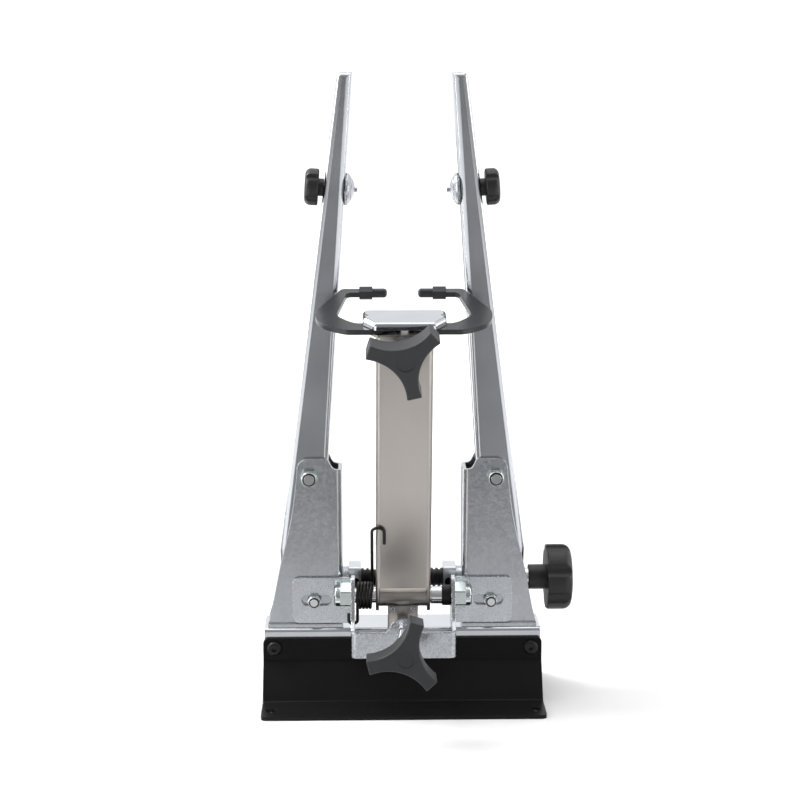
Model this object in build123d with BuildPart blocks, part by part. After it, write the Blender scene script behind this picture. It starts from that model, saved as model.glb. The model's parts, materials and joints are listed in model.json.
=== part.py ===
from build123d import *
from math import atan, cos, degrees, radians, sin, tan
import os

# Bicycle wheel truing stand. Millimetres, +Z up, -Y towards the user, +X to the user's
# right. The origin is the centre of the bench bolt pattern, on the bench surface.

os.makedirs("parts", exist_ok=True)

# Base rail and the two folded base plates
RAIL_WIDTH = 221
RAIL_DEPTH = 38
RAIL_TOP = 57
RAIL_BOTTOM = 31
RAIL_SHEET = 2.5
PLATE_SHEET = 3
PLATE_WIDTH = 223
PLATE_TOP = 49.4
PLATE_KNEE = 31
PLATE_TOE_Y = 40
PLATE_FRONT_Y = 73
BENCH_HOLE_X = 103.5
BENCH_HOLE_Y = 59
BENCH_HOLE_R = 4.25
PLATE_SCREW_X = 102.5
PLATE_SCREW_Z = 41.4

# Screws through the rail's top into the feet and the rod bearing
RAIL_SCREW_SPOTS = ((-92, 0), (-60, 0), (0, 7), (60, 0), (92, 0))

# Feet: channels that open outwards, bolted on the rail
FOOT_SHEET = 3
FOOT_INNER_X = 47.7
FOOT_HALF_DEPTH = 14
FOOT_FLOOR = RAIL_TOP + FOOT_SHEET
FOOT_BEND = 5

# Uprights: tapered channels that pivot in the feet
UPRIGHT_SHEET = 2.5
UPRIGHT_HALF_DEPTH = 10.2
UPRIGHT_BEND = 4.5
UPRIGHT_TOP = 495
UPRIGHT_TOP_INNER = 38.4
UPRIGHT_TOP_OUTER = 49.8
UPRIGHT_INNER_SLOPE = 0.06644
PIVOT_X = 73.7
PIVOT_Z = 179.8
PIVOT_R = 4

# Spread screw: one turn moves both uprights
ROD_Z = 93.5
ROD_THREAD_R = 7.8
ROD_SHANK_R = 5.25
ROD_JOURNAL_R = 5
BEARING_HALF = 6
THREAD_END = 44
TRUNNION_X = 78
TRUNNION_R = 3
NUT_INNER_X = 33
NUT_OUTER_X = 43
SLEEVE_R_OUT = 9.8
SLEEVE_HOLE_R = 10.2
BEARING_DEPTH = 15
CAP_SCREW_Y = 11
COLLAR_X = 98
KNOB_X = 102
# The trunnion slot points at the upright's pivot
SLOT_LEAN = degrees(atan((TRUNNION_X - PIVOT_X) / (PIVOT_Z - ROD_Z)))

# Hub clamps near the upright tops
HUB_Z = 406
STUD_R = 4
STUD_TIP_R = 3

# Arm bracket, cross shaft and the screw that sets the arm
BRACKET_SHEET = 3
BRACKET_BACK_Y = -FOOT_HALF_DEPTH
BRACKET_FRONT_Y = -61
BRACKET_HALF_WIDTH = 41
BRACKET_BOLT_X = 70.5
BRACKET_BOLT_Z = 79.7
SHAFT_Y = -28.8
SHAFT_Z = 87.4
SHAFT_R = 6
ARM_SCREW_Z = 66.5
ARM_SCREW_R = 4

# Caliper arm, drawn upright about the cross shaft and leaning forward at rest
ARM_LEAN = 13
ARM_HALF_WIDTH = 21.5
ARM_HALF_DEPTH = 11.2
ARM_SHEET = 2.5
ARM_TOP = 225.6
SLEEVE_R = 8.5
TAIL_HALF_WIDTH = 12
TAIL_FACE_Y = -4
TAIL_LENGTH = 29.8
RIVET_X = 8
RIVET_H = -10.2

# Torsion spring on the shaft: one leg in a notch of the arm, one in a notch of the ear
SPRING_WIRE_R = 1.25
SPRING_COIL_R = 9.75
SPRING_NOTCH_H = 66.7
EAR_NOTCH_TOP = 69.3

# Caliper head: plates, calipers and the slider that spreads them
HEAD_PLATE_TOP = 227.6
CALIPER_BOTTOM = 227.8
CALIPER_SHEET = 4
COVER_TOP = 237.8
COVER_SHEET = 2.5
COVER_LIP = 5.5
COVER_BEND = 2.8
CALIPER_PIVOT_X = 22
CALIPER_PIVOT_Y = -5
CALIPER_PIN_R = 3
TIP_Y = 68
CALIPER_SCREW_H = 219.6
CALIPER_SCREW_R = 4
SPRING_POST_X = 15.5
# The slider's pins stand in front of the two caliper levers
LEVER_FRONT_Y = -2.6
PUSH_X = 5
PUSH_R = 1.5
PUSH_Y = LEVER_FRONT_Y - PUSH_R - 0.35
SLIDER_FRONT_Y = PUSH_Y - 0.4

# Arm screw pad: its nose just clears the tail's sloping face
PAD_R = 5
PAD_LENGTH = 16
PAD_GAP = 0.3
PAD_CENTRE_Y = (SHAFT_Y + (SHAFT_Z - ARM_SCREW_Z) * tan(radians(ARM_LEAN))
                + (TAIL_FACE_Y - PAD_R - PAD_GAP) / cos(radians(ARM_LEAN)))
PAD_NOSE_Y = PAD_CENTRE_Y + PAD_R

# Knobs
TRI_KNOB_RADIUS = 29
TRI_KNOB_WAIST = 11.2
TRI_KNOB_LOBE_WIDTH = 11.5
TRI_KNOB_THICKNESS = 19
TRI_KNOB_HUB = 8
TRI_KNOB_WALL = 5
ARM_KNOB_FRONT_Y = -124
CALIPER_KNOB_FRONT = -49

ARM = Plane(
    origin=(0, SHAFT_Y, SHAFT_Z),
    x_dir=(1, 0, 0),
    z_dir=(0, -sin(radians(ARM_LEAN)), cos(radians(ARM_LEAN))),
)


def on_arm(plane):
    """The same plane in the leaning arm's own frame: X across, Y to the back, Z along the arm."""
    return Plane(ARM.location * plane.location)


# The hub clamp's axis is square to the tilted web; its plane faces outwards from the web
HUB_TILT = atan(UPRIGHT_INNER_SLOPE)
HUB_X = UPRIGHT_TOP_INNER + (UPRIGHT_TOP - HUB_Z) * UPRIGHT_INNER_SLOPE
HUB = Plane(
    origin=(HUB_X, 0, HUB_Z),
    x_dir=(0, 1, 0),
    z_dir=(cos(HUB_TILT), 0, sin(HUB_TILT)),
)

FRONT = Plane(origin=(0, 0, 0), x_dir=(1, 0, 0), z_dir=(0, -1, 0))
BACK = Plane(origin=(0, 0, 0), x_dir=(-1, 0, 0), z_dir=(0, 1, 0))
RIGHT = Plane.YZ


def moved_to(plane, x, y, z):
    """A plane with the same directions and its origin at the given point."""
    return Plane(origin=(x, y, z), x_dir=plane.x_dir, z_dir=plane.z_dir)


def rod(plane, radius, length, edge=0.4):
    """Plain round bar that stands on the plane, with both rims broken."""
    with BuildPart() as bar:
        with BuildSketch(plane):
            Circle(radius)
        extrude(amount=length)
        chamfer(bar.edges().filter_by(GeomType.CIRCLE), length=edge)
    return bar.part


def tube(plane, outer, inner, length, edge=0.4):
    """Round bush that stands on the plane."""
    with BuildPart() as bush:
        with BuildSketch(plane):
            Circle(outer)
        extrude(amount=length)
        chamfer(bush.edges().filter_by(GeomType.CIRCLE), length=edge)
        with BuildSketch(plane):
            Circle(inner)
        extrude(amount=length, mode=Mode.SUBTRACT)
    return bush.part


def lock_nut(plane, across_flats, height, bore, turn=0):
    """Hexagon nut with the round collar that holds its nylon ring, standing on the plane."""
    hexagon = 0.66 * height
    with BuildPart() as nut:
        with BuildSketch(plane):
            RegularPolygon(radius=across_flats / 2, side_count=6, major_radius=False,
                           rotation=turn)
        extrude(amount=hexagon)
        with BuildSketch(plane):
            Circle(across_flats * 0.56)
        extrude(amount=hexagon, mode=Mode.INTERSECT)
        with BuildSketch(plane.offset(hexagon)):
            Circle(across_flats * 0.46)
        extrude(amount=height - hexagon)
        collar_rim = nut.edges().filter_by(GeomType.CIRCLE).group_by(
            lambda edge: plane.to_local_coords(edge.center()).Z
        )[-1]
        fillet(collar_rim, radius=0.12 * height)
        with BuildSketch(plane):
            Circle(bore)
        extrude(amount=height, mode=Mode.SUBTRACT)
    return nut.part


def hex_bolt(plane, across_flats, head, radius, length):
    """Bolt whose head stands on the plane and whose shank runs back through it."""
    with BuildPart() as bolt:
        with BuildSketch(plane):
            RegularPolygon(radius=across_flats / 2, side_count=6, major_radius=False)
        extrude(amount=head)
        with BuildSketch(plane):
            Circle(across_flats * 0.56)
        extrude(amount=head, mode=Mode.INTERSECT)
        with BuildSketch(plane):
            Circle(radius)
        extrude(amount=-length)
    return bolt.part


def countersunk_screw(plane, head_radius, radius, length):
    """Flat-headed screw whose head lies flush in the plane and whose shank runs back."""
    with BuildPart() as screw:
        with BuildSketch(plane):
            Circle(head_radius)
        extrude(amount=radius - head_radius, taper=45)
        with BuildSketch(plane):
            Circle(radius)
        extrude(amount=-length)
        with BuildSketch(plane):
            RegularPolygon(radius=0.6 * radius, side_count=6)
        extrude(amount=-1.5, mode=Mode.SUBTRACT)
    return screw.part


def button_screw(plane, head_radius, head, radius, length):
    """Domed socket screw whose head stands on the plane and whose shank runs back."""
    with BuildPart() as screw:
        with BuildSketch(plane):
            Circle(head_radius)
        extrude(amount=head)
        rim = screw.edges().filter_by(GeomType.CIRCLE).group_by(
            lambda edge: plane.to_local_coords(edge.center()).Z
        )[-1]
        fillet(rim, radius=0.85 * head)
        with BuildSketch(plane.offset(0.35 * head)):
            RegularPolygon(radius=0.36 * head_radius, side_count=6)
        extrude(amount=head, mode=Mode.SUBTRACT)
        with BuildSketch(plane):
            Circle(radius)
        extrude(amount=-length)
    return screw.part


def tri_lobe_knob(plane, turn, bore):
    """Three-armed knob: its outer face lies on the plane and its hub runs back from it."""
    half = TRI_KNOB_LOBE_WIDTH / 2
    hub_radius = 9.5
    recess_radius = 6.5
    with BuildPart() as knob:
        with BuildSketch(plane):
            with BuildLine():
                for arm in range(3):
                    here = radians(turn + 120 * arm)
                    after = radians(turn + 120 * (arm + 1))
                    across = Vector(-sin(here), cos(here)) * half
                    across_after = Vector(-sin(after), cos(after)) * half
                    end = Vector(cos(here), sin(here)) * TRI_KNOB_RADIUS
                    end_after = Vector(cos(after), sin(after)) * TRI_KNOB_RADIUS
                    middle = radians(turn + 120 * arm + 60)
                    waist = Vector(cos(middle), sin(middle)) * TRI_KNOB_WAIST
                    Line(end - across, end + across)
                    ThreePointArc(end + across, waist, end_after - across_after)
            make_face()
        extrude(amount=-TRI_KNOB_THICKNESS)
        fillet(knob.edges(), radius=1.1)
        with BuildSketch(plane):
            Circle(recess_radius)
        extrude(amount=-0.5, mode=Mode.SUBTRACT)
        with BuildSketch(plane.offset(-TRI_KNOB_THICKNESS)):
            Circle(hub_radius)
        extrude(amount=-TRI_KNOB_HUB)
        with BuildSketch(plane.offset(-TRI_KNOB_WALL)):
            Circle(bore)
        extrude(amount=-TRI_KNOB_THICKNESS - TRI_KNOB_HUB, mode=Mode.SUBTRACT)
    return knob.part


def fluted_knob(plane, radius, thickness, flutes, dome, neck_radius, neck_length, bore):
    """Round knob with finger flutes; its neck starts on the plane and its face is outermost."""
    flute_radius = 0.26 * radius
    with BuildPart() as knob:
        with BuildSketch(plane.offset(neck_length)):
            Circle(radius)
        extrude(amount=thickness)
        outer = knob.edges().filter_by(GeomType.CIRCLE).group_by(
            lambda edge: plane.to_local_coords(edge.center()).Z
        )
        fillet(outer[-1], radius=dome)
        fillet(knob.edges().filter_by(GeomType.CIRCLE).group_by(
            lambda edge: plane.to_local_coords(edge.center()).Z
        )[0], radius=1.2)
        with BuildSketch(plane.offset(neck_length)):
            with PolarLocations(radius * 1.14, flutes):
                Circle(flute_radius)
        extrude(amount=thickness, mode=Mode.SUBTRACT)
        with BuildSketch(plane):
            Circle(neck_radius)
        extrude(amount=neck_length)
        with BuildSketch(plane):
            Circle(bore)
        extrude(amount=neck_length + 0.5 * thickness, mode=Mode.SUBTRACT)
    return knob.part


def both_sides(part):
    """A right-hand piece and its mirror image as one group of separate solids."""
    with BuildPart() as pair:
        add(part)
        mirror(about=Plane.YZ)
    return pair.part


def left_hand(part):
    """The mirror image of a right-hand piece."""
    with BuildPart() as copy:
        mirror(part, about=Plane.YZ)
    return copy.part


def save(part, name):
    part.label = name
    export_step(part, f"parts/{name}.step")


# ---------------------------------------------------------------- base


def make_base_rail():
    """Inverted channel with rounded bends, holed for the plates, feet and bearing."""
    half = RAIL_DEPTH / 2
    with BuildPart() as rail:
        with BuildSketch(Plane.YZ):
            with BuildLine():
                FilletPolyline(
                    (-half, RAIL_BOTTOM), (-half, RAIL_TOP), (half, RAIL_TOP), (half, RAIL_BOTTOM),
                    radius=3,
                )
                offset(amount=RAIL_SHEET, side=Side.RIGHT)
            make_face()
        extrude(amount=RAIL_WIDTH / 2, both=True)
        with BuildSketch(FRONT.offset(half)):
            with Locations((-PLATE_SCREW_X, PLATE_SCREW_Z), (PLATE_SCREW_X, PLATE_SCREW_Z)):
                Circle(3.2)
        extrude(amount=-RAIL_DEPTH, mode=Mode.SUBTRACT)
        with BuildSketch(Plane.XY.offset(RAIL_TOP)):
            with Locations(*RAIL_SCREW_SPOTS):
                Circle(3.2)
        extrude(amount=-2 * RAIL_SHEET, mode=Mode.SUBTRACT)
    return rail.part


def make_base_plate():
    """Black folded plate on the front of the rail: upright, sloping and bench faces."""
    face_y = -RAIL_DEPTH / 2 - PLATE_SHEET
    with BuildPart() as plate:
        with BuildSketch(Plane.YZ):
            with BuildLine():
                FilletPolyline(
                    (face_y, PLATE_TOP),
                    (face_y, PLATE_KNEE),
                    (-PLATE_TOE_Y, PLATE_SHEET),
                    (-PLATE_FRONT_Y, PLATE_SHEET),
                    radius=3,
                )
                offset(amount=PLATE_SHEET, side=Side.LEFT)
            make_face()
        extrude(amount=PLATE_WIDTH / 2, both=True)
        corners = plate.edges().filter_by(Axis.Z).group_by(Axis.Y)[0]
        fillet(corners, radius=4)
        top_corners = plate.edges().filter_by(Axis.Y).group_by(Axis.Z)[-1]
        fillet(top_corners, radius=4)
        with BuildSketch(Plane.XY):
            with Locations((-BENCH_HOLE_X, -BENCH_HOLE_Y), (BENCH_HOLE_X, -BENCH_HOLE_Y)):
                Circle(BENCH_HOLE_R)
        extrude(amount=2 * PLATE_SHEET, mode=Mode.SUBTRACT)
        with BuildSketch(FRONT.offset(-face_y + 1)):
            with Locations((-PLATE_SCREW_X, PLATE_SCREW_Z), (PLATE_SCREW_X, PLATE_SCREW_Z)):
                Circle(3.2)
        extrude(amount=-2 * PLATE_SHEET, mode=Mode.SUBTRACT)
    return plate.part


def front_and_back(part):
    """A piece of the front plate and its mirror image on the back plate."""
    with BuildPart() as pair:
        add(part)
        mirror(about=Plane.XZ)
    return pair.part


save(make_base_rail(), "base_rail")

front_base_plate = make_base_plate()
save(front_base_plate, "front_base_plate")
with BuildPart() as rear_base_plate:
    mirror(front_base_plate, about=Plane.XZ)
save(rear_base_plate.part, "rear_base_plate")

plate_screw = button_screw(
    moved_to(FRONT, PLATE_SCREW_X, -RAIL_DEPTH / 2 - PLATE_SHEET, PLATE_SCREW_Z), 6, 3.3, 3, 12
)
save(front_and_back(both_sides(plate_screw)), "base_screws")

plate_nut = lock_nut(
    moved_to(BACK, PLATE_SCREW_X, -RAIL_DEPTH / 2 + RAIL_SHEET, PLATE_SCREW_Z), 10, 6, 3
)
save(front_and_back(both_sides(plate_nut)), "base_nuts")

RAIL_UNDERSIDE = Plane(
    origin=(0, 0, RAIL_TOP - RAIL_SHEET), x_dir=(1, 0, 0), z_dir=(0, 0, -1)
)
with BuildPart() as rail_screws:
    for spot_x, spot_y in RAIL_SCREW_SPOTS:
        add(button_screw(moved_to(RAIL_UNDERSIDE, spot_x, spot_y, RAIL_TOP - RAIL_SHEET),
                         5.5, 3.3, 3, RAIL_SHEET + FOOT_SHEET))
save(rail_screws.part, "rail_screws")

# ---------------------------------------------------------------- feet


def make_right_foot():
    """Channel foot on a small base plate: rounded top, flared outer edge, hole for the nut."""
    with BuildPart() as foot:
        with BuildSketch(Plane.XZ):
            with BuildLine():
                Line((FOOT_INNER_X, FOOT_FLOOR), (FOOT_INNER_X, 186))
                Line((FOOT_INNER_X, 186), (52.4, 186))
                Spline((52.4, 186), (61.5, 195), tangents=((1, 0.1), (1, 0.1)))
                Line((61.5, 195), (75, 195))
                RadiusArc((75, 195), (83.4, 186), 8.8)
                Spline((83.4, 186), (89.4, 141.4), (98.5, 102), (107.5, FOOT_FLOOR),
                       tangents=((0.08, -1), (0.3, -1)))
                Line((107.5, FOOT_FLOOR), (FOOT_INNER_X, FOOT_FLOOR))
            make_face()
        extrude(amount=FOOT_HALF_DEPTH, both=True)
        bends = foot.edges().filter_by(Axis.Z).group_by(Axis.X)[0]
        fillet(bends, radius=FOOT_BEND)
        with BuildSketch(Plane.XY.offset(FOOT_FLOOR)):
            with Locations((FOOT_INNER_X + FOOT_SHEET + 40, 0)):
                RectangleRounded(80, 2 * (FOOT_HALF_DEPTH - FOOT_SHEET), FOOT_BEND - FOOT_SHEET)
        extrude(amount=150, mode=Mode.SUBTRACT)
        with BuildSketch(Plane.XY.offset(RAIL_TOP)):
            with Locations(((FOOT_INNER_X + 107.5) / 2, 0)):
                Rectangle(107.5 - FOOT_INNER_X, 2 * FOOT_HALF_DEPTH + 5)
        extrude(amount=FOOT_SHEET)
        with BuildSketch(RIGHT.offset(FOOT_INNER_X)):
            with Locations((0, ROD_Z)):
                Circle(SLEEVE_HOLE_R)
        extrude(amount=FOOT_BEND, mode=Mode.SUBTRACT)
        with BuildSketch(FRONT.offset(FOOT_HALF_DEPTH)):
            with Locations((PIVOT_X, PIVOT_Z)):
                Circle(PIVOT_R + 0.05)
        extrude(amount=-2 * FOOT_HALF_DEPTH, mode=Mode.SUBTRACT)
        with BuildSketch(FRONT.offset(FOOT_HALF_DEPTH)):
            with Locations((BRACKET_BOLT_X, BRACKET_BOLT_Z)):
                Circle(3.1)
        extrude(amount=-FOOT_SHEET, mode=Mode.SUBTRACT)
        inner_face = FRONT.offset(FOOT_HALF_DEPTH - FOOT_SHEET)
        with BuildSketch(inner_face):
            with Locations((BRACKET_BOLT_X, BRACKET_BOLT_Z)):
                Circle(5.6)
        extrude(amount=2.5, taper=45, mode=Mode.SUBTRACT)
        with BuildSketch(Plane.XY.offset(RAIL_TOP)):
            with Locations((60, 0), (92, 0)):
                Circle(3.05)
        extrude(amount=FOOT_SHEET, mode=Mode.SUBTRACT)
    return foot.part


right_foot = make_right_foot()
save(right_foot, "right_foot")
save(left_hand(right_foot), "left_foot")

pivot_bolt = hex_bolt(
    moved_to(BACK, PIVOT_X, FOOT_HALF_DEPTH, PIVOT_Z), 13, 5.3, PIVOT_R, 2 * FOOT_HALF_DEPTH + 9
)
save(both_sides(pivot_bolt), "pivot_bolts")

pivot_nut = lock_nut(moved_to(FRONT, PIVOT_X, -FOOT_HALF_DEPTH, PIVOT_Z), 13, 8, PIVOT_R)
save(both_sides(pivot_nut), "pivot_nuts")

sleeve_half = UPRIGHT_HALF_DEPTH - UPRIGHT_SHEET - 0.15
pivot_sleeve = tube(
    moved_to(FRONT, PIVOT_X, sleeve_half, PIVOT_Z), 6, PIVOT_R + 0.05, 2 * sleeve_half
)
save(both_sides(pivot_sleeve), "pivot_sleeves")

# ---------------------------------------------------------------- uprights


def inner_line(z):
    """X of the right upright's web face at a height."""
    return UPRIGHT_TOP_INNER + (UPRIGHT_TOP - z) * UPRIGHT_INNER_SLOPE


def make_right_upright():
    """Tapered channel with a slotted tail below its pivot and a stud hole near its top."""
    web_end = 112
    shoulder = 98
    with BuildPart() as upright:
        with BuildSketch(Plane.XZ):
            with BuildLine():
                FilletPolyline(
                    (UPRIGHT_TOP_INNER, UPRIGHT_TOP),
                    (UPRIGHT_TOP_OUTER, UPRIGHT_TOP),
                    (shoulder, 120),
                    (shoulder - 1, 76),
                    (72, 76),
                    (70, 104),
                    (inner_line(web_end), web_end),
                    close=True,
                    radius=(0, 4, 20, 5, 5, 4, 1),
                )
            make_face()
        extrude(amount=UPRIGHT_HALF_DEPTH, both=True)
        web_edges = upright.edges().filter_by(
            lambda edge: edge.length > 300 and edge.center().X < 60
        )
        fillet(web_edges, radius=UPRIGHT_BEND)
        inside = 2 * (UPRIGHT_HALF_DEPTH - UPRIGHT_SHEET)
        web_plane = Plane(
            origin=(inner_line(PIVOT_Z), 0, PIVOT_Z),
            x_dir=(0, 1, 0),
            z_dir=(-UPRIGHT_INNER_SLOPE, 0, 1),
        )
        with BuildSketch(web_plane.offset(-150)):
            with Locations((0, -UPRIGHT_SHEET - 40)):
                RectangleRounded(inside, 80, 2)
        extrude(amount=600, mode=Mode.SUBTRACT)
        with BuildSketch(Plane.XY.offset(60)):
            with Locations((75, 0)):
                Rectangle(80, inside)
        extrude(amount=web_end - 60, mode=Mode.SUBTRACT)
        with BuildSketch(FRONT.offset(UPRIGHT_HALF_DEPTH)):
            with Locations((PIVOT_X, PIVOT_Z)):
                Circle(PIVOT_R + 0.06)
            with Locations(Location((TRUNNION_X, ROD_Z, 0), (0, 0, 90 + SLOT_LEAN))):
                SlotOverall(2 * TRUNNION_R + 7.2, 2 * TRUNNION_R + 1.2)
        extrude(amount=-2 * UPRIGHT_HALF_DEPTH, mode=Mode.SUBTRACT)
        with BuildSketch(HUB):
            Circle(STUD_R + 0.3)
        extrude(amount=2 * UPRIGHT_SHEET, mode=Mode.SUBTRACT)
    return upright.part


right_upright = make_right_upright()
save(right_upright, "right_upright")
save(left_hand(right_upright), "left_upright")

# ---------------------------------------------------------------- hub clamps


def make_hub_washer():
    """Toothed washer on the inner face of the web."""
    with BuildPart() as washer:
        with BuildSketch(HUB):
            Circle(11.4)
            with PolarLocations(11.4, 20):
                RegularPolygon(radius=1.1, side_count=3)
            Circle(6.5, mode=Mode.SUBTRACT)
        extrude(amount=-1)
    return washer.part


def make_hub_cone():
    """Domed axle seat with a ring groove and a small pilot pin."""
    seat = 1.2
    crown = 7.5
    half_plane = Plane(origin=HUB.origin, x_dir=-HUB.z_dir, z_dir=(0, -1, 0))
    with BuildPart() as cone:
        with BuildSketch(half_plane):
            with BuildLine():
                Line((seat, 0), (seat, 12.3))
                Line((seat, 12.3), (seat + 0.8, 12.3))
                ThreePointArc((seat + 0.8, 12.3), (5.2, 8.4), (crown, 2.6))
                Line((crown, 2.6), (crown, 1.9))
                Line((crown, 1.9), (9.7, 1.9))
                Line((9.7, 1.9), (9.7, 0))
                Line((9.7, 0), (seat, 0))
            make_face()
            with Locations((4.9, 9.2)):
                Circle(0.55, mode=Mode.SUBTRACT)
        revolve(axis=Axis(HUB.origin, HUB.z_dir))
        with BuildSketch(HUB.offset(-seat)):
            Circle(STUD_TIP_R + 0.05)
        extrude(amount=-4.4, mode=Mode.SUBTRACT)
    return cone.part


def make_axle_stud():
    """Threaded stud with a plain tip that turns inside the cone."""
    with BuildPart() as stud:
        with BuildSketch(HUB.offset(-0.9)):
            Circle(STUD_R)
        extrude(amount=26.5)
        with BuildSketch(HUB.offset(-5.3)):
            Circle(STUD_TIP_R)
        extrude(amount=4.5)
    return stud.part


hub_pieces = {
    "hub_washer": make_hub_washer(),
    "hub_cone": make_hub_cone(),
    "hub_insert": tube(HUB.offset(UPRIGHT_SHEET), 5.6, STUD_R + 0.05, 8),
    "axle_stud": make_axle_stud(),
    "axle_knob": fluted_knob(HUB.offset(16.3), 14.2, 10.6, 5, 4.5, 6.8, 4.2, STUD_R),
}
for piece_name, piece in hub_pieces.items():
    save(piece, f"right_{piece_name}")
    save(left_hand(piece), f"left_{piece_name}")

# ---------------------------------------------------------------- spread screw


def make_spread_screw():
    """Right- and left-hand threaded rod with a thrust journal in the middle."""
    right_end = 118
    left_end = 90
    with BuildPart() as screw:
        with BuildSketch(moved_to(RIGHT, -left_end, 0, ROD_Z)):
            Circle(ROD_SHANK_R)
        extrude(amount=left_end - THREAD_END)
        with BuildSketch(moved_to(RIGHT, THREAD_END, 0, ROD_Z)):
            Circle(ROD_SHANK_R)
        extrude(amount=right_end - THREAD_END)
        for start in (-THREAD_END, BEARING_HALF + 0.2):
            with BuildSketch(moved_to(RIGHT, start, 0, ROD_Z)):
                Circle(ROD_THREAD_R)
            extrude(amount=THREAD_END - BEARING_HALF - 0.2)
        with BuildSketch(moved_to(RIGHT, -BEARING_HALF - 0.2, 0, ROD_Z)):
            Circle(ROD_JOURNAL_R)
        extrude(amount=2 * BEARING_HALF + 0.4)
    return screw.part


def make_right_spread_nut():
    """Threaded block, ridged sleeve through the foot, and a nose with two trunnion pins."""
    bore_end = 60.4
    sleeve_end = 62
    nose_end = 84
    ridge_pitch = 1.6
    with BuildPart() as nut:
        with BuildSketch(moved_to(RIGHT, NUT_INNER_X, 0, ROD_Z)):
            RectangleRounded(22, 23, 2.5)
        extrude(amount=NUT_OUTER_X - NUT_INNER_X)
        with BuildSketch(moved_to(RIGHT, NUT_OUTER_X, 0, ROD_Z)):
            Circle(SLEEVE_R_OUT)
        extrude(amount=sleeve_end - NUT_OUTER_X)
        for ridge in range(3):
            groove = moved_to(RIGHT, NUT_OUTER_X + 0.4 + ridge * ridge_pitch, 0, ROD_Z)
            with BuildSketch(groove):
                Circle(SLEEVE_R_OUT)
                Circle(SLEEVE_R_OUT - 0.7, mode=Mode.SUBTRACT)
            extrude(amount=0.7, mode=Mode.SUBTRACT)
        with BuildSketch(moved_to(RIGHT, sleeve_end, 0, ROD_Z)):
            Circle(7.2)
        extrude(amount=nose_end - sleeve_end)
        with BuildSketch(moved_to(FRONT, TRUNNION_X, -UPRIGHT_HALF_DEPTH - 0.3, ROD_Z)):
            Circle(TRUNNION_R)
        extrude(amount=-2 * UPRIGHT_HALF_DEPTH - 0.6)
        with BuildSketch(moved_to(RIGHT, NUT_INNER_X, 0, ROD_Z)):
            Circle(ROD_THREAD_R + 0.06)
        extrude(amount=NUT_OUTER_X - NUT_INNER_X, mode=Mode.SUBTRACT)
        with BuildSketch(moved_to(RIGHT, NUT_OUTER_X, 0, ROD_Z)):
            Circle(ROD_THREAD_R + 0.4)
        extrude(amount=bore_end - NUT_OUTER_X, mode=Mode.SUBTRACT)
        with BuildSketch(moved_to(RIGHT, bore_end, 0, ROD_Z)):
            Circle(ROD_SHANK_R + 0.4)
        extrude(amount=nose_end - bore_end, mode=Mode.SUBTRACT)
        with BuildSketch(moved_to(FRONT, (NUT_INNER_X + NUT_OUTER_X) / 2, -11, ROD_Z - 1)):
            Circle(4)
        extrude(amount=-6, mode=Mode.SUBTRACT)
    return nut.part


def make_rod_bearing():
    """Post on the rail with the lower half of the journal's bearing."""
    seat = ROD_Z - 0.1
    with BuildPart() as bearing:
        with BuildSketch(RIGHT.offset(-BEARING_HALF)):
            with BuildLine():
                Polyline(
                    (-BEARING_DEPTH, seat), (-BEARING_DEPTH, ROD_Z - 7), (-1, ROD_Z - 13),
                    (-1, RAIL_TOP), (BEARING_DEPTH, RAIL_TOP), (BEARING_DEPTH, seat),
                    close=True,
                )
            make_face()
            with Locations((0, ROD_Z)):
                Circle(ROD_JOURNAL_R + 0.05, mode=Mode.SUBTRACT)
        extrude(amount=2 * BEARING_HALF)
        with BuildSketch(Plane.XY.offset(RAIL_TOP)):
            with Locations((0, 7)):
                Circle(3.05)
        extrude(amount=FOOT_SHEET + 0.5, mode=Mode.SUBTRACT)
        with BuildSketch(Plane.XY.offset(seat)):
            with Locations((0, -CAP_SCREW_Y), (0, CAP_SCREW_Y)):
                Circle(2.05)
        extrude(amount=-6, mode=Mode.SUBTRACT)
    return bearing.part


def make_rod_bearing_cap():
    """Upper half of the journal's bearing."""
    with BuildPart() as cap:
        with BuildSketch(RIGHT.offset(-BEARING_HALF)):
            with Locations((0, ROD_Z + 5.6)):
                RectangleRounded(2 * BEARING_DEPTH, 11, 2)
            with Locations((0, ROD_Z)):
                Circle(ROD_JOURNAL_R + 0.05, mode=Mode.SUBTRACT)
        extrude(amount=2 * BEARING_HALF)
        with BuildSketch(Plane.XY.offset(ROD_Z)):
            with Locations((0, -CAP_SCREW_Y), (0, CAP_SCREW_Y)):
                Circle(2.05)
        extrude(amount=14, mode=Mode.SUBTRACT)
    return cap.part


save(make_spread_screw(), "spread_screw")
right_spread_nut = make_right_spread_nut()
save(right_spread_nut, "right_spread_nut")
save(left_hand(right_spread_nut), "left_spread_nut")
save(make_rod_bearing(), "rod_bearing")
save(make_rod_bearing_cap(), "rod_bearing_cap")

with BuildPart() as cap_screws:
    for screw_y in (-CAP_SCREW_Y, CAP_SCREW_Y):
        add(button_screw(moved_to(Plane.XY, 0, screw_y, ROD_Z + 11.1), 3.8, 2.2, 2, 16))
save(cap_screws.part, "cap_screws")

save(tube(moved_to(RIGHT, COLLAR_X, 0, ROD_Z), 7.3, ROD_SHANK_R, KNOB_X - COLLAR_X), "knob_collar")
save(fluted_knob(moved_to(RIGHT, KNOB_X, 0, ROD_Z), 26.3, 20, 7, 7, 10, 14, ROD_SHANK_R),
     "spread_knob")

# ---------------------------------------------------------------- arm bracket


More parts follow.
